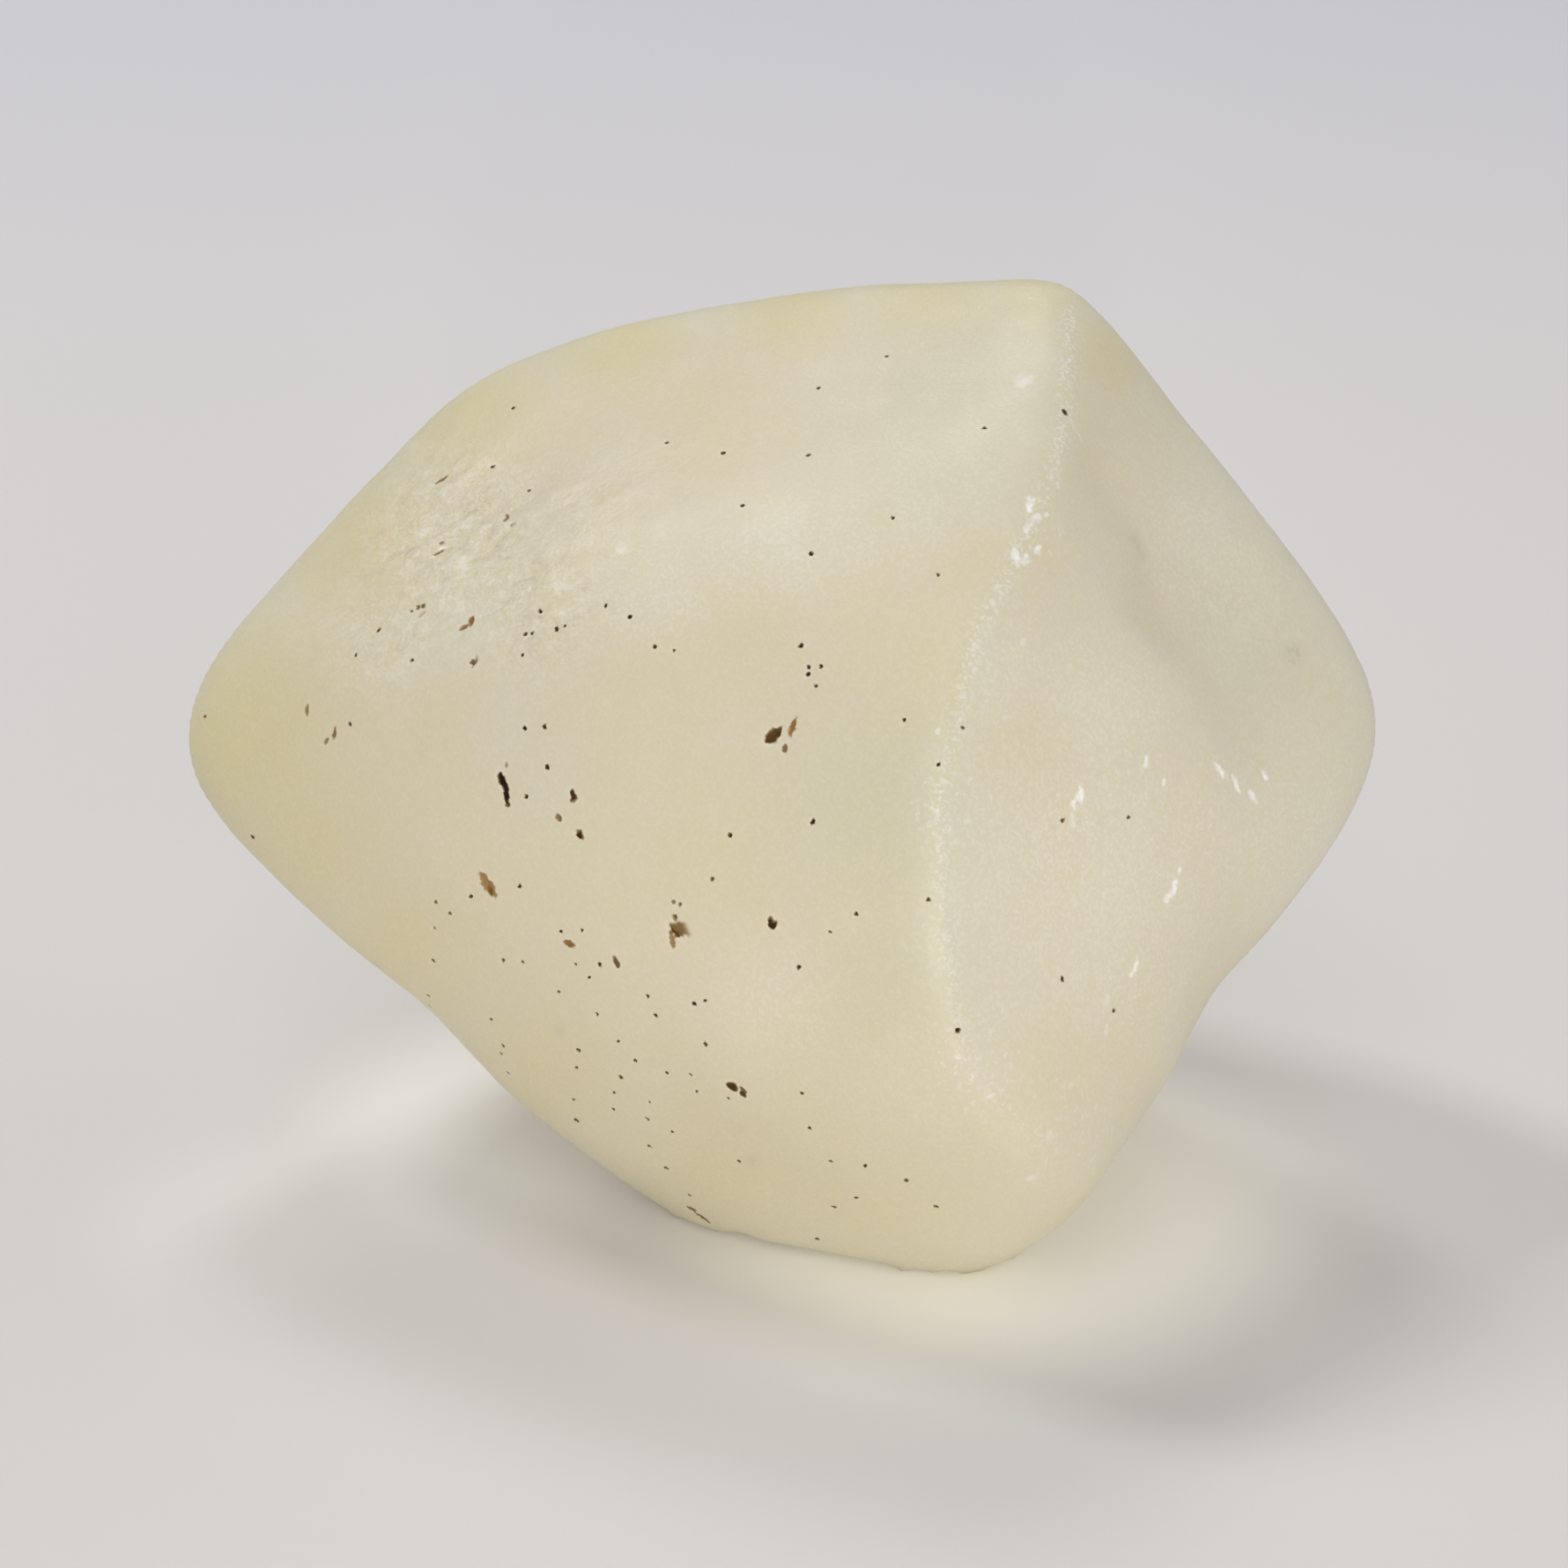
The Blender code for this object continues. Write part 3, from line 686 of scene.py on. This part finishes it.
def buildStone():
    tree = guideTree()
    bm = drawnBall(tree)
    print("ball drawn onto the solid,", len(bm.faces), "faces")
    for name in ("dirt", "rust", "frost", "rough", "crest", "smudge", "fleck", "paintedShade", "warmAndShade", "pale"):
        bm.verts.layers.float.new(name)
    draw = random.Random(farSide["seed"])
    hidden = farPits(tree, draw)
    marks = seenMarks(tree)
    healPits(bm, hidden + [mark for mark in marks if mark["dirt"] > 0.0])
    marks += hidden + farDust(tree, draw) + farChips(tree, draw)
    raised = [vert for vert in bm.verts if vert.co.z > stoneForm["flatHeight"]]
    smoothPlaces(bm, raised, stoneForm["smoothPasses"])
    splitNearMarks(bm, marks)
    waveBumps(bm)
    cutMarks(bm, marks)
    bm.normal_update()
    paintPatches(bm)
    for vert in bm.verts:
        if vert.co.z < stoneForm["flatHeight"]:
            vert.co.z = 0.0
    bmesh.ops.scale(bm, vec=(mm, mm, mm), verts=bm.verts)
    mesh = bpy.data.meshes.new("desertGlassStone")
    bm.to_mesh(mesh)
    bm.free()
    mesh.shade_smooth()
    mesh.materials.append(desertGlass())
    stone = bpy.data.objects.new("desertGlassStone", mesh)
    bpy.context.scene.collection.objects.link(stone)
    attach(stone, "root")
    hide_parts("desert_glass")
    print("stone has", len(mesh.polygons), "faces and", len(marks), "pits and chips")


# Short calls for a material's nodes.
def plug(tree, socket, value):
    if isinstance(value, bpy.types.NodeSocket):
        tree.links.new(value, socket)
    else:
        socket.default_value = value


def pointValue(tree, name):
    node = tree.nodes.new("ShaderNodeAttribute")
    node.attribute_name = name
    return node.outputs["Fac"]


def mathNode(tree, operation, first, second):
    node = tree.nodes.new("ShaderNodeMath")
    node.operation = operation
    plug(tree, node.inputs[0], first)
    plug(tree, node.inputs[1], second)
    return node.outputs["Value"]


def noiseNode(tree, size, detail, roughness):
    node = tree.nodes.new("ShaderNodeTexNoise")
    place = tree.nodes.new("ShaderNodeTexCoord")
    tree.links.new(place.outputs["Object"], node.inputs["Vector"])
    node.inputs["Scale"].default_value = 1.0 / (size * mm)
    node.inputs["Detail"].default_value = detail
    node.inputs["Roughness"].default_value = roughness
    return node.outputs["Fac"]


def rangeNode(tree, value, low, high, start=0.0, end=1.0):
    node = tree.nodes.new("ShaderNodeMapRange")
    node.interpolation_type = "SMOOTHSTEP"
    plug(tree, node.inputs["Value"], value)
    plug(tree, node.inputs["From Min"], low)
    plug(tree, node.inputs["From Max"], high)
    plug(tree, node.inputs["To Min"], start)
    plug(tree, node.inputs["To Max"], end)
    return node.outputs["Result"]


def blendNode(tree, share, first, second):
    node = tree.nodes.new("ShaderNodeMix")
    node.data_type = "RGBA"
    plug(tree, node.inputs["Factor"], share)
    plug(tree, node.inputs[6], first)          # the two colours
    plug(tree, node.inputs[7], second)
    return node.outputs[2]


def bumpNode(tree, height, distance, normal=None):
    node = tree.nodes.new("ShaderNodeBump")
    node.inputs["Distance"].default_value = distance * mm
    plug(tree, node.inputs["Height"], height)
    if normal is not None:
        plug(tree, node.inputs["Normal"], normal)
    return node.outputs["Normal"]


# The glass: pale yellow and cloudy inside, etched to a satin frost outside.
glassLook = {
    "glass": (0.793, 0.732, 0.567, 1.0),
    # partly the glass's own yellower tone, partly painted shade
    "warmAndShade": (0.785, 0.690, 0.412, 1.0),
    # the colour of the painted highlight and sheen, partly the glass's own paler tone
    "pale": (0.852, 0.812, 0.690, 1.0),
    # the colour of the painted shade
    "paintedShade": (0.715, 0.695, 0.555, 1.0),
    "bruise": (0.95, 0.93, 0.88, 1.0),
    "stain": (0.30, 0.20, 0.085, 1.0),
    "dirt": (0.020, 0.008, 0.002, 1.0),
    "rust": (0.32, 0.165, 0.035, 1.0),
    "smudge": (0.42, 0.40, 0.33, 1.0),
    "rustCover": 0.85,
    "bruisePolish": 0.2,                       # how much smoother a bruise is
    "dirtDulling": 0.5,                        # how much rougher dirt is
    "grainHeight": 0.018,                      # mm
    "wrinkleHeight": 0.13,
    "lightDepth": 0.008,                       # metres that light travels between turns
    "lightSpread": (1.0, 0.95, 0.75),
    "lightForward": 0.4,
    "ior": 1.46,
    "shine": 0.4,                              # below 0.5, an etched skin mirrors less
    # size in mm, detail, roughness
    "noises": {
        "clouds": (3.0, 2.0, 0.5),
        "veil": (1.2, 3.0, 0.6),
        "grain": (0.11, 2.0, 0.7),
        "flecks": (0.16, 1.0, 0.6),
        "relief": (0.4, 3.0, 0.65),
    },
    "gritEdges": (0.46, 0.62),
    # As a value goes from the first to the second number, it gives the third to the fourth.
    "ranges": {
        "clouds": (0.3, 0.7, 0.0, 0.3),
        "haze": (0.5, 0.8, 0.0, 0.15),
        "grit": (0.0, 0.6, 0.13, 0.34),        # from plain glass to rough glass or the painted highlight and sheen
        "flecks": (0.6, 0.7, 0.0, 0.6),
        "knocks": (0.50, 0.62, 0.0, 0.9),
        "specks": (0.4, 0.6, 0.1, 0.6),
        # painted highlight on wrinkle tops, painted shade between them
        "paintedCrestLight": (0.53, 0.66, 0.0, 0.6),
        "paintedHollowShade": (0.45, 0.33, 0.0, 0.3),
        "stain": (0.0, 0.5, 0.0, 1.0),
        "dirt": (0.4, 1.0, 0.0, 1.0),
        "clearness": (0.0, 0.7, 0.19, 0.0),    # share of the light that passes straight in
        "cloudiness": (0.0, 0.7, 0.5, 0.0),    # share of the rest that glows inside
        "roughness": (0.3, 0.7, 0.35, 0.49),
    },
}


def glassNoise(tree, name):
    return noiseNode(tree, *glassLook["noises"][name])


def glassRange(tree, value, name):
    return rangeNode(tree, value, *glassLook["ranges"][name])


def desertGlass():
    material = bpy.data.materials.new("desertGlass")
    material.use_nodes = True
    tree = material.node_tree
    dirt, rust, frost = pointValue(tree, "dirt"), pointValue(tree, "rust"), pointValue(tree, "frost")
    pale, rough = pointValue(tree, "pale"), pointValue(tree, "rough")
    veil, grain, relief = glassNoise(tree, "veil"), glassNoise(tree, "grain"), glassNoise(tree, "relief")

    clouds = glassRange(tree, glassNoise(tree, "clouds"), "clouds")
    # The glass's own yellow clouds, and painted shade on the rims, the left tip, the bottom and the
    # valley.
    warmAndShade = mathNode(tree, "MAXIMUM", clouds, pointValue(tree, "warmAndShade"))
    colour = blendNode(tree, warmAndShade, glassLook["glass"], glassLook["warmAndShade"])
    # A random paler haze, and the painted highlight and sheen.
    haze = mathNode(tree, "MAXIMUM", glassRange(tree, veil, "haze"), pale)
    colour = blendNode(tree, haze, colour, glassLook["pale"])
    # Painted shade.
    colour = blendNode(tree, pointValue(tree, "paintedShade"), colour, glassLook["paintedShade"])
    # The etched skin is grainy, most of all where it is rough and on the painted highlight and sheen.
    most = glassRange(tree, mathNode(tree, "MAXIMUM", pale, rough), "grit")
    grit = rangeNode(tree, grain, *glassLook["gritEdges"], 0.0, most)
    colour = blendNode(tree, grit, colour, glassLook["bruise"])

    # Tiny white bruises where the stone has been knocked, close together on the ridge.
    flecks = glassRange(tree, glassNoise(tree, "flecks"), "flecks")
    flecks = mathNode(tree, "MULTIPLY", flecks, pointValue(tree, "fleck"))
    knocks = mathNode(tree, "MULTIPLY", glassRange(tree, grain, "knocks"), pointValue(tree, "crest"))
    flecks = mathNode(tree, "MAXIMUM", flecks, knocks)
    # White bruises and flecks, and painted glints on the chips.
    colour = blendNode(tree, mathNode(tree, "MAXIMUM", frost, flecks), colour, glassLook["bruise"])
    # Painted highlight on the wrinkles' tops and painted shade in between them, for the light and shade
    # of the relief.
    paintedCrestLight = mathNode(tree, "MULTIPLY", glassRange(tree, relief, "paintedCrestLight"), rough)
    colour = blendNode(tree, paintedCrestLight, colour, glassLook["bruise"])
    paintedHollowShade = mathNode(tree, "MULTIPLY", glassRange(tree, relief, "paintedHollowShade"), rough)
    # Grey dust specks, and the painted shade between wrinkles.
    specks = mathNode(tree, "MULTIPLY", pointValue(tree, "smudge"), glassRange(tree, grain, "specks"))
    specksAndHollowShade = mathNode(tree, "MAXIMUM", specks, paintedHollowShade)
    colour = blendNode(tree, specksAndHollowShade, colour, glassLook["smudge"])
    # A little dirt is a brown stain, much of it is nearly black.
    colour = blendNode(tree, glassRange(tree, dirt, "stain"), colour, glassLook["stain"])
    colour = blendNode(tree, glassRange(tree, dirt, "dirt"), colour, glassLook["dirt"])
    rusty = mathNode(tree, "MULTIPLY", rust, glassLook["rustCover"])
    colour = blendNode(tree, rusty, colour, glassLook["rust"])
    # Dirt, rust and bruises are solid, the rest lets light in.
    solid = mathNode(tree, "MAXIMUM", mathNode(tree, "MAXIMUM", dirt, rust), frost)

    polish = mathNode(tree, "MULTIPLY", frost, glassLook["bruisePolish"])
    dulling = mathNode(tree, "MULTIPLY", dirt, glassLook["dirtDulling"])
    sheen = mathNode(tree, "SUBTRACT", glassRange(tree, veil, "roughness"), polish)
    sheen = mathNode(tree, "ADD", sheen, dulling)
    wrinkles = mathNode(tree, "MULTIPLY", relief, rough)
    surface = bumpNode(tree, grain, glassLook["grainHeight"])
    surface = bumpNode(tree, wrinkles, glassLook["wrinkleHeight"], surface)

    shader = tree.nodes["Principled BSDF"]
    plug(tree, shader.inputs["Base Color"], colour)
    plug(tree, shader.inputs["Roughness"], sheen)
    plug(tree, shader.inputs["Normal"], surface)
    plug(tree, shader.inputs["Transmission Weight"], glassRange(tree, solid, "clearness"))
    plug(tree, shader.inputs["Subsurface Weight"], glassRange(tree, solid, "cloudiness"))
    shader.inputs["IOR"].default_value = glassLook["ior"]
    shader.inputs["Specular IOR Level"].default_value = glassLook["shine"]
    shader.inputs["Subsurface Radius"].default_value = glassLook["lightSpread"]
    shader.inputs["Subsurface Scale"].default_value = glassLook["lightDepth"]
    shader.inputs["Subsurface Anisotropy"].default_value = glassLook["lightForward"]
    return material


# The studio: a pale table that runs far back and turns darker and bluer there, with painted pools of
# light around the stone, a soft sky and large soft lamps.
studio = {
    "tableRadius": 1.5,                        # metres
    "tableSides": 128,
    "tableDrop": 0.00002,                      # under the stone's flat
    "tableRoughness": 0.8,
    "nearTable": (0.75, 0.725, 0.705, 1.0),
    "farTable": (0.66, 0.65, 0.68, 1.0),
    "tableTurns": (0.03, 0.15),                # metres back, where near turns into far
    # Painted pools of light on the table, standing in for light that comes through the glass into the
    # stone's shadow: the middle in metres, where it ends, where it is full, the colour and its painted
    # glow.
    "paintedLightPools": (
        ((0.006, -0.0045, 0.0), 0.0108, 0.0045, (0.88, 0.86, 0.79, 1.0), 0.12),
        ((-0.0068, 0.0005, 0.0), 0.008, 0.003, (0.80, 0.785, 0.765, 1.0), 0.11),
        ((-0.014, -0.005, 0.0), 0.006, 0.001, (0.77, 0.75, 0.73, 1.0), 0.03),
    ),
    # the colour of the painted glow
    "paintedGlow": (1.0, 0.96, 0.86, 1.0),
    "sky": (0.97, 0.975, 1.0, 1.0),
    "skyStrength": 0.38,
    # azimuth from the front, elevation, side, power in watts, colour
    "lamps": {
        "highLamp": (-15.0, 58.0, 0.30, 0.26, (1.0, 1.0, 0.99)),
        "lowLamp": (10.0, 8.0, 0.45, 0.85, (1.0, 0.995, 0.98)),
        "backLamp": (-174.0, 55.0, 0.11, 0.46, (1.0, 1.0, 1.0)),
        "leftLamp": (-122.0, 55.0, 0.09, 0.56, (1.0, 1.0, 1.0)),
        "rightLamp": (100.0, 20.0, 0.30, 0.28, (1.0, 1.0, 1.0)),
    },
    "lampDistance": 0.5,
    # A narrow lamp on the stone's foot, which hangs over.
    "footLamp": {
        "place": Vector((1.5, -8.0, 2.0)),     # mm
        "azimuth": 0.0,
        "elevation": 7.0,
        "distance": 0.4,
        "radius": 12.0,                        # mm
        "power": 9.0,
        "colour": (1.0, 0.95, 0.82),
        "softness": 0.02,
    },
}


def paleTable():
    material = bpy.data.materials.new("paleTable")
    material.use_nodes = True
    tree = material.node_tree
    place = tree.nodes.new("ShaderNodeTexCoord").outputs["Object"]
    parts = tree.nodes.new("ShaderNodeSeparateXYZ")
    plug(tree, parts.inputs[0], place)
    back = rangeNode(tree, parts.outputs["Y"], *studio["tableTurns"])
    colour = blendNode(tree, back, studio["nearTable"], studio["farTable"])
    paintedGlow = 0.0
    # Painted light: each pool lightens the table's colour and makes it glow inside the stone's shadow.
    for middle, end, full, paintedPoolColour, strength in studio["paintedLightPools"]:
        away = tree.nodes.new("ShaderNodeVectorMath")
        away.operation = "DISTANCE"
        plug(tree, away.inputs[0], place)
        away.inputs[1].default_value = middle
        lit = rangeNode(tree, away.outputs["Value"], end, full)
        colour = blendNode(tree, lit, colour, paintedPoolColour)
        paintedGlow = mathNode(tree, "ADD", paintedGlow, mathNode(tree, "MULTIPLY", lit, strength))
    shader = tree.nodes["Principled BSDF"]
    plug(tree, shader.inputs["Base Color"], colour)
    plug(tree, shader.inputs["Emission Strength"], paintedGlow)
    shader.inputs["Emission Color"].default_value = studio["paintedGlow"]
    shader.inputs["Roughness"].default_value = studio["tableRoughness"]
    material.cycles.emission_sampling = "NONE"   # the table's painted glow isn't a lamp
    return material


def addTable():
    bm = bmesh.new()
    bmesh.ops.create_circle(
        bm, cap_ends=True, segments=studio["tableSides"], radius=studio["tableRadius"]
    )
    bmesh.ops.translate(bm, vec=(0.0, 0.0, -studio["tableDrop"]), verts=bm.verts)
    mesh = bpy.data.meshes.new("table")
    bm.to_mesh(mesh)
    bm.free()
    mesh.materials.append(paleTable())
    table = bpy.data.objects.new("table", mesh)
    bpy.context.scene.collection.objects.link(table)


def hangLamp(lamp, azimuth, elevation, distance, aim):
    holder = bpy.data.objects.new(lamp.name, lamp)
    turn, rise = math.radians(azimuth), math.radians(elevation)
    away = Vector((math.sin(turn) * math.cos(rise), -math.cos(turn) * math.cos(rise), math.sin(rise)))
    holder.location = away * distance + aim * mm
    holder.rotation_euler = away.to_track_quat("Z", "Y").to_euler()
    bpy.context.scene.collection.objects.link(holder)


def addLight():
    world = bpy.data.worlds.new("softSky")
    world.use_nodes = True
    sky = world.node_tree.nodes["Background"]
    sky.inputs["Color"].default_value = studio["sky"]
    sky.inputs["Strength"].default_value = studio["skyStrength"]
    bpy.context.scene.world = world
    for name, (azimuth, elevation, side, power, colour) in studio["lamps"].items():
        lamp = bpy.data.lights.new(name, "AREA")
        lamp.shape = "SQUARE"
        lamp.size = side
        lamp.energy = power
        lamp.color = colour
        hangLamp(lamp, azimuth, elevation, studio["lampDistance"], photoCamera["target"])
    foot = studio["footLamp"]
    lamp = bpy.data.lights.new("footLamp", "SPOT")
    lamp.energy = foot["power"]
    lamp.color = foot["colour"]
    lamp.shadow_soft_size = foot["softness"]
    lamp.spot_size = 2 * math.atan(foot["radius"] * mm / foot["distance"])
    lamp.spot_blend = 1.0
    hangLamp(lamp, foot["azimuth"], foot["elevation"], foot["distance"], foot["place"])
    print("sky and", len(studio["lamps"]) + 1, "lamps set")


addCamera()
buildStone()
addTable()
addLight()
bpy.context.scene.view_settings.view_transform = "Standard"
